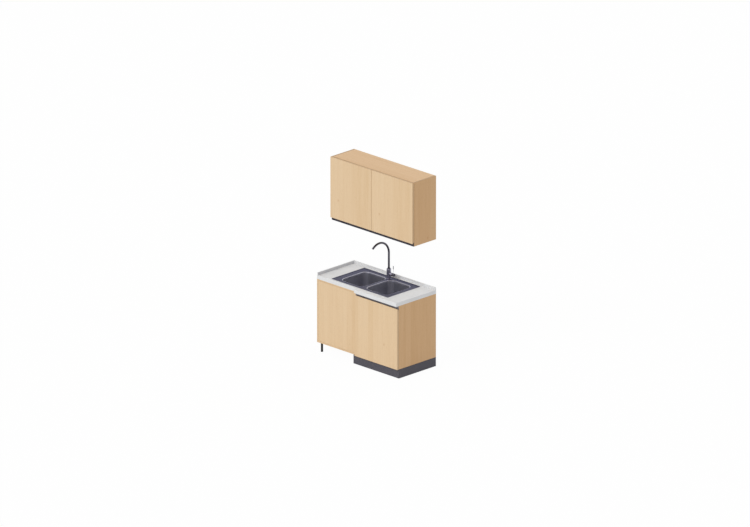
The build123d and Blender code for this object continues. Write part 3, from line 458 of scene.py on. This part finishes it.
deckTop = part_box("tap_ring")[0].z
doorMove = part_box("wall_door_right")[0].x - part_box("wall_door_left")[0].x      # both doors have one figure
frontOak = oakLaminate("oakDoor")
frontOakRight = oakLaminate("oakDoorRight", move=(-doorMove, 0, 0))
baseOak = oakLaminate("oakBaseDoor", move=(0.37, 0, 0.83))
blindOak = oakLaminate("oakBlindPanel", move=(1.21, 0, 0.31))
# the outer right-hand sides: the oak with painted shade, darker and warmer than the doors
shadedSideOak = oakLaminate("oakSideShaded", move=(2.3, 0, 0.2), shade=0.91, warm=0.13)
insideOak = oakLaminate("oakInside", move=(3.1, 0, 0.6), shade=0.98)
flatOak = oakLaminate("oakFlat", along="X", move=(0.9, 0.4, 0), warm=0.095)
# edge bands darkened by their grain's axis: partly their own tone, partly painted shade
shadedEdgeOaks = [oakLaminate("oakShadedEdgeAlong" + axis, along=axis, move=oak["edgeMove"],
                        shade=oak["edgeShade"][axis], warm=oak["edgeWarm"][axis]) for axis in "XYZ"]
paleEdgeOaks = [oakLaminate("oakPaleEdgeAlong" + axis, along=axis, move=oak["edgeMove"],
                            **oak["paleEdge"]) for axis in "XYZ"]
boardBack = mouldedPlastic("backBoard", srgb(214, 203, 186), rough=0.55, grain=500, contrast=0.02)
frontLaminate = worktopLaminate("worktopFront")
# the worktop's faces a little paler than its edges: painted light on the top
litTopLaminate = worktopLaminate("worktopTopLit", tint=(1.04, 1.04, 1.04))
# the left upstand's inner face: the laminate greyed with painted shade
shadedUpstandLaminate = worktopLaminate("leftUpstand", tint=(0.84, 0.84, 0.87))
wallProfile = brushedMetal("wallGripProfile", srgb(60, 58, 66), 0.42, brush=(1, 60, 60))
# the base profile: the dark grip profile made paler and less metallic, as painted light in the shade under the
# worktop
litBaseProfile = brushedMetal("baseGripProfileLit", srgb(134, 133, 142), 0.42, brush=(1, 60, 60), metallic=0.6)
plinthDark = mouldedPlastic("plinthDark", srgb(76, 74, 82), rough=0.55, grain=900)
legBlack = mouldedPlastic("legBlack", srgb(24, 23, 20), rough=0.55)
sinkSteel = sinkSteelFinish(deckTop)
strainerSteel = brushedMetal("strainerSteel", srgb(170, 170, 176), 0.28, brush=(8, 8, 8))
zincSteel = brushedMetal("zincSteel", srgb(172, 172, 174), 0.34, brush=(6, 6, 6))
hingeNickel = brushedMetal("hingeNickel", srgb(178, 176, 172), 0.26, brush=(4, 4, 4))
wasteWhite = mouldedPlastic("wasteWhite", srgb(222, 221, 217), rough=0.4, grain=700)
# the tap's body and ring: its dark finish made paler, as painted light; the spout and knob keep the darker
# tone
litTapMetal = brushedMetal("tapBodyLit", srgb(160, 158, 172), 0.3, brush=(20, 20, 2))
spoutMetal = brushedMetal("tapSpout", srgb(84, 82, 92), 0.3, brush=(20, 20, 2))
knobMetal = brushedMetal("tapKnob", srgb(92, 90, 100), 0.3, brush=(2, 20, 20))
aeratorGrey = mouldedPlastic("aeratorGrey", srgb(62, 61, 66), rough=0.4)
sealBlack = mouldedPlastic("sealBlack", srgb(46, 46, 48), rough=0.6)
leverChrome = brushedMetal("leverChrome", srgb(196, 196, 200), 0.16, brush=(4, 4, 4), contrast=0.03)
leverSatin = brushedMetal("leverSatin", srgb(150, 150, 158), 0.3, brush=(20, 20, 2), contrast=0.03)

finishes = {
    "wall_door_left": frontOak, "wall_door_right": frontOakRight, "base_door": baseOak,
    "blind_panel": blindOak,
    "base_side_left": insideOak, "base_side_right": shadedSideOak, "wall_side_left": insideOak,
    "wall_side_right": shadedSideOak, "wall_divider": insideOak, "centre_post": insideOak,
    "wall_top": flatOak, "wall_bottom": flatOak, "wall_shelf_left": flatOak, "wall_shelf_right": flatOak,
    "base_bottom": flatOak, "base_front_rail": flatOak, "base_rear_rail": flatOak,
    "base_back": boardBack, "wall_back": boardBack,
    "worktop": litTopLaminate, "upstand_back": frontLaminate, "upstand_left": shadedUpstandLaminate,
    "base_grip_profile": litBaseProfile, "wall_grip_profile": wallProfile,
    "plinth_front": plinthDark, "plinth_return": plinthDark,
    "leg_sockets": legBlack, "leg_posts": legBlack, "leg_feet": legBlack, "plinth_clips": legBlack,
    "sink": sinkSteel, "strainer_bodies": strainerSteel, "basket_left": strainerSteel,
    "basket_right": strainerSteel,
    "sink_clips": zincSteel, "hanging_rail": zincSteel, "tap_nut": zincSteel, "tap_inlets": zincSteel,
    "shelf_pins": zincSteel,
    "strainer_nuts": wasteWhite, "waste_manifold": wasteWhite, "slip_nuts": wasteWhite,
    "trap_body": wasteWhite, "trap_cup": wasteWhite, "waste_outlet": wasteWhite, "hangers": wasteWhite,
    "tap_body": litTapMetal, "tap_ring": litTapMetal, "spout": spoutMetal, "mixer_knob": knobMetal,
    "mixer_lever": leverChrome, "aerator": aeratorGrey,
    "base_hinge_arms": hingeNickel, "wall_hinge_arms": hingeNickel, "base_door_hinge_cups": hingeNickel,
    "wall_left_hinge_cups": hingeNickel, "wall_right_hinge_cups": hingeNickel,
    "sink_seal": sealBlack, "door_bumpers": sealBlack,
}
for name, material in finishes.items():
    mesh = nodes[name].data
    mesh.materials.clear()
    mesh.materials.append(material)
print("finishes are on", len(finishes), "of", len(nodes), "nodes")


# Pieces

bodyOf = {node: body for body, members in frame["record"]["behaviour"]["bodies"].items() for node in members}


shading = {"sharpAngle": 35, "square": 0.9999}      # a face this square to an axis stays flat on a board


def finishPiece(name, bm, materials, like, stands=False, board=False):
    # turns a bmesh into a piece that rides as the node it is like does, and hides that node when it stands in
    # its place
    mesh = bpy.data.meshes.new(name)
    bm.to_mesh(mesh)
    bm.free()
    for material in materials:
        mesh.materials.append(material)
    mesh.shade_smooth()
    mesh.set_sharp_from_angle(angle=radians(shading["sharpAngle"]))
    for face in mesh.polygons:      # after the sharp angle, which makes every face smooth
        if board and max(abs(part) for part in face.normal) > shading["square"]:
            face.use_smooth = False
    piece = bpy.data.objects.new(name, mesh)
    scene.collection.objects.link(piece)
    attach(piece, bodyOf[like])
    if stands:
        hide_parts(like)
    return piece


rejoin = {"within": 0.01 * mm, "flat": 1}      # how near points are, and faces to flat in degrees, to be one


def copied(node):
    # a node's mesh with its triangles joined again where they lie flat
    bm = bmesh.new()
    bm.from_mesh(nodes[node].data)
    bmesh.ops.remove_doubles(bm, verts=bm.verts, dist=rejoin["within"])
    bmesh.ops.dissolve_limit(bm, angle_limit=radians(rejoin["flat"]), verts=bm.verts, edges=bm.edges)
    return bm


def softened(bm, edges, width):
    bmesh.ops.bevel(bm, geom=edges, offset=width, offset_type="OFFSET", affect="EDGES", segments=2,
                    profile=0.5, material=-1, clamp_overlap=True)


def facing(place, outward):
    # brings what is made at the origin, looking up, to its place, looking outward
    return Matrix.Translation(place) @ Vector(outward).to_track_quat("Z", "Y").to_matrix().to_4x4()


boards = {
    "edgeRound": 0.7 * mm, "edgeAngle": 40, "shortest": 12 * mm, "onFace": 0.02 * mm, "holeSides": 14,
    "faceShare": 0.9,                     # how squarely a face of the board looks along its thin axis
}


def outerEdges(bm, low, high):
    # the sharp edges that lie along the edges of the board's own box
    found = []
    for edge in bm.edges:
        if not edge.is_manifold or edge.calc_length() < boards["shortest"]:
            continue
        if edge.calc_face_angle() < radians(boards["edgeAngle"]):
            continue
        middle = (edge.verts[0].co + edge.verts[1].co) / 2
        planes = sum(min(abs(middle[axis] - low[axis]), abs(middle[axis] - high[axis])) < boards["onFace"]
                     for axis in range(3))
        if planes >= 2:
            found.append(edge)
    return found


def drill(bm, axis, plane, inward, places, radius, depth):
    # rows of round blind holes in a flat face, which is filled again round them
    def onPlane(vert):
        return abs(vert.co[axis] - plane) < boards["onFace"]

    flat = [face for face in bm.faces if abs(face.normal[axis]) > boards["faceShare"]
            and all(onPlane(vert) for vert in face.verts)]
    bmesh.ops.delete(bm, geom=flat, context="FACES")
    rims = [edge for edge in bm.edges if edge.is_boundary and all(onPlane(vert) for vert in edge.verts)]
    into = Vector([inward if i == axis else 0 for i in range(3)])
    circles = []
    for place in places:
        ring = bmesh.ops.create_circle(bm, cap_ends=False, segments=boards["holeSides"], radius=radius,
                                       matrix=facing(place, into))["verts"]
        circles.append(list(dict.fromkeys(edge for vert in ring for edge in vert.link_edges)))
    everyEdge = rims + [edge for circle in circles for edge in circle]
    bmesh.ops.triangle_fill(bm, use_beauty=True, edges=everyEdge)
    folded = [edge for edge in bm.edges if len(edge.link_faces) > 2]      # where the fill folds over
    bmesh.ops.collapse(bm, edges=folded)
    for circle in circles:
        grown = bmesh.ops.extrude_edge_only(bm, edges=circle)["geom"]
        foot = [item for item in grown if isinstance(item, bmesh.types.BMVert)]
        bmesh.ops.translate(bm, verts=foot, vec=into * depth)
        bmesh.ops.contextual_create(bm, geom=[item for item in grown if isinstance(item, bmesh.types.BMEdge)])


def dressBoard(node, edges, holes=()):
    # the board with its edge bands, each grained along its run, and softened corners
    low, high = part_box(node)
    thin = min(range(3), key=lambda axis: high[axis] - low[axis])
    bm = copied(node)
    for hole in holes:
        drill(bm, thin, *hole)
    softened(bm, outerEdges(bm, low, high), boards["edgeRound"])
    bmesh.ops.recalc_face_normals(bm, faces=bm.faces)
    wide = [axis for axis in range(3) if axis != thin]
    for part in bm.faces:
        if abs(part.normal[thin]) > boards["faceShare"]:
            part.material_index = 0
        else:
            looks = max(wide, key=lambda axis: abs(part.normal[axis]))
            part.material_index = 1 + sum(wide) - looks      # the band grained along the other wide axis
    return finishPiece(node + ".dressed", bm, [finishes[node]] + edges, node, stands=True, board=True)


pinRows = {"pitch": 32 * mm, "each": 5, "radius": 2.5 * mm, "depth": 9 * mm}


def pinHoles(plane):
    # the rows of shelf-pin holes above and below the pins that are in use
    pins = nodes["shelf_pins"].data.vertices
    rows = sorted({round(vert.co.y, 3) for vert in pins})
    ys = (rows[0] + pinRows["radius"], rows[-1] - pinRows["radius"])
    low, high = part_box("shelf_pins")
    middle = (low.z + high.z) / 2
    return [(plane, y, middle + step * pinRows["pitch"]) for y in ys
            for step in range(-pinRows["each"], pinRows["each"] + 1) if step]


def holeRow(plane, inward):
    return plane, inward, pinHoles(plane), pinRows["radius"], pinRows["depth"]


darkEdged = ("base_side_right", "base_rear_rail", "centre_post", "wall_door_left", "wall_door_right",
             "wall_top", "wall_bottom", "wall_shelf_left", "wall_shelf_right")
paleEdged = ("base_side_left", "base_bottom", "base_front_rail", "blind_panel", "base_door")
for node in darkEdged:
    dressBoard(node, shadedEdgeOaks)
for node in paleEdged:
    dressBoard(node, paleEdgeOaks)
dressBoard("wall_side_left", shadedEdgeOaks, [holeRow(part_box("wall_side_left")[1].x, -1)])
dressBoard("wall_side_right", shadedEdgeOaks, [holeRow(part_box("wall_side_right")[0].x, 1)])
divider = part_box("wall_divider")
dressBoard("wall_divider", shadedEdgeOaks, [holeRow(divider[0].x, 1), holeRow(divider[1].x, -1)])
for node in ("base_back", "wall_back"):
    dressBoard(node, [boardBack] * 3)
for node in ("worktop", "upstand_back"):
    dressBoard(node, [frontLaminate] * 3)
leftUpstand = dressBoard("upstand_left", [frontLaminate] * 3)
for face in leftUpstand.data.polygons:      # its inner side keeps the painted shade; its outer side is as pale as the worktop's edge
    if face.normal.x < -boards["faceShare"]:
        face.material_index = 1
for node in ("plinth_front", "plinth_return"):
    dressBoard(node, [plinthDark] * 3)
print("boards are dressed")


screwHead = {
    "sides": 16, "edgeRound": 0.3 * mm,
    "land": 0.4, "notch": 0.3, "sunk": 0.7,      # shares of radius, of a corner's reach and of height
    "plate": {"radius": 4.2 * mm, "height": 1.4 * mm},
    "adjuster": {"radius": 3.2 * mm, "height": 0.8 * mm},
    "flange": {"radius": 3.8 * mm, "height": 1.3 * mm},
    "hanger": {"radius": 4.0 * mm, "height": 1.0 * mm},
}


def topFace(bm):
    return max(bm.faces, key=lambda face: face.calc_center_median().z)


def driveHead(bm, place, outward, kind):
    # a low round head with a cross recess, which stands on place and looks outward
    radius, height = screwHead[kind]["radius"], screwHead[kind]["height"]
    head = bmesh.new()
    bmesh.ops.create_cone(head, cap_ends=True, segments=screwHead["sides"], radius1=radius, radius2=radius,
                          depth=height, matrix=Matrix.Translation((0, 0, height / 2)))
    softened(head, list(topFace(head).edges), screwHead["edgeRound"])
    recess = topFace(head)
    bmesh.ops.inset_individual(head, faces=[recess], thickness=radius * screwHead["land"])
    for step, vert in enumerate(recess.verts):
        if step % 4 > 1:      # two corners of every four are drawn in, which leaves a cross
            vert.co.xy *= screwHead["notch"]
    grown = bmesh.ops.extrude_discrete_faces(head, faces=[recess])["faces"]
    bmesh.ops.translate(head, verts=grown[0].verts, vec=(0, 0, -height * screwHead["sunk"]))
    bmesh.ops.transform(head, matrix=facing(place, outward), verts=head.verts)
    loose = bpy.data.meshes.new("head")
    head.to_mesh(loose)
    head.free()
    bm.from_mesh(loose)
    bpy.data.meshes.remove(loose)


hinge = {
    "plateHeight": 50 * mm, "plateLength": 37 * mm, "plateThickness": 4 * mm, "armDepth": 13 * mm,
    "plateScrews": 16 * mm, "adjusters": 9 * mm,      # from the plate's middle, up and along
    "flangeLength": 62 * mm, "flangeScrews": 24 * mm,
}


def screwArms(node, sides):
    # two screws in each mounting plate and two adjusters in each arm
    low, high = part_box(node)
    middleY = high.y - hinge["plateLength"] / 2
    bm = bmesh.new()
    for side in sides:
        wall = high.x if side > 0 else low.x
        plate = wall - side * hinge["plateThickness"]
        arm = wall - side * hinge["armDepth"]
        for z in (low.z + hinge["plateHeight"] / 2, high.z - hinge["plateHeight"] / 2):
            for step in (-1, 1):
                driveHead(bm, (plate, middleY, z + step * hinge["plateScrews"]), (-side, 0, 0), "plate")
                driveHead(bm, (arm, middleY + step * hinge["adjusters"], z), (-side, 0, 0), "adjuster")
    finishPiece(node + ".screws", bm, [zincSteel], node)


def screwCups(node):
    # two screws in the flange of each hinge cup, on the back of its door
    low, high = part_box(node)
    middleX = (low.x + high.x) / 2
    bm = bmesh.new()
    for z in (low.z + hinge["flangeLength"] / 2, high.z - hinge["flangeLength"] / 2):
        for step in (-1, 1):
            driveHead(bm, (middleX, high.y, z + step * hinge["flangeScrews"]), (0, 1, 0), "flange")
    finishPiece(node + ".screws", bm, [zincSteel], node)


hanger = {"width": 18 * mm, "screws": (0.35, 0.7)}      # heights of its two screws, as shares of its own


def screwHangers():
    # two screws in the front of each hanger
    low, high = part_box("hangers")
    bm = bmesh.new()
    for x in (low.x + hanger["width"] / 2, high.x - hanger["width"] / 2):
        for share in hanger["screws"]:
            driveHead(bm, (x, low.y, low.z + share * (high.z - low.z)), (0, -1, 0), "hanger")
    finishPiece("hangers.screws", bm, [zincSteel], "hangers")


screwArms("base_hinge_arms", (1,))
screwArms("wall_hinge_arms", (-1, 1))
for node in ("base_door_hinge_cups", "wall_left_hinge_cups", "wall_right_hinge_cups"):
    screwCups(node)
screwHangers()
print("screws are in")


cupRibs = {
    "count": 24, "sides": 8, "radius": 1.8 * mm, "edgeRound": 0.6 * mm,
    "from": 13 * mm, "to": 41 * mm,      # up from the cup's foot
}


def ribCup():
    # upright ribs round the trap's cup, to grip it by
    low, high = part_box("trap_cup")
    middle = (low + high) / 2
    reach = (high.x - low.x) / 2
    height = cupRibs["to"] - cupRibs["from"]
    middleZ = low.z + cupRibs["from"] + height / 2
    bm = bmesh.new()
    for step in range(cupRibs["count"]):
        angle = 2 * pi * step / cupRibs["count"]
        place = (middle.x + reach * cos(angle), middle.y + reach * sin(angle), middleZ)
        bmesh.ops.create_cone(bm, cap_ends=True, segments=cupRibs["sides"], radius1=cupRibs["radius"],
                              radius2=cupRibs["radius"], depth=height, matrix=Matrix.Translation(place))
    rims = [edge for edge in bm.edges if edge.verts[0].co.z == edge.verts[1].co.z]
    softened(bm, rims, cupRibs["edgeRound"])
    finishPiece("trap_cup.ribs", bm, [wasteWhite], "trap_cup")


ribCup()
print("ribs are on")


lever = {"gripLength": 34 * mm}


def dressLever():
    # a chromed stem with a satin grip at its upper end
    bm = copied("mixer_lever")
    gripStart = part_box("mixer_lever")[1].z - lever["gripLength"]
    for face in bm.faces:
        face.material_index = 1 if face.calc_center_median().z > gripStart - boards["onFace"] else 0
    finishPiece("mixer_lever.dressed", bm, [leverChrome, leverSatin], "mixer_lever", stands=True)


strainer = {
    "cells": 11, "reach": 6.3 * mm, "wire": 0.16 * mm, "thickness": 0.4 * mm,
    "depth": 1.5 * mm, "length": 10 * mm, "towards": (0, -1, -1),      # it looks the way the spout's end does
}


def meshAerator():
    # a round wire mesh, a little way inside the aerator's mouth
    low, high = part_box("aerator")
    outward = Vector(strainer["towards"]).normalized()
    bm = bmesh.new()
    bmesh.ops.create_grid(bm, x_segments=strainer["cells"], y_segments=strainer["cells"],
                          size=strainer["reach"])
    outside = [face for face in bm.faces if face.calc_center_median().length > strainer["reach"]]
    bmesh.ops.delete(bm, geom=outside, context="FACES")
    cells = list(bm.faces)
    bmesh.ops.inset_individual(bm, faces=cells, thickness=strainer["wire"])
    bmesh.ops.delete(bm, geom=cells, context="FACES_ONLY")
    bmesh.ops.solidify(bm, geom=bm.faces, thickness=strainer["thickness"])
    bmesh.ops.recalc_face_normals(bm, faces=bm.faces)
    place = (low + high) / 2 + outward * (strainer["length"] / 2 - strainer["depth"])
    bmesh.ops.transform(bm, matrix=facing(place, outward), verts=bm.verts)
    finishPiece("aerator.mesh", bm, [zincSteel], "aerator")


dressLever()
meshAerator()
print("tap is dressed")
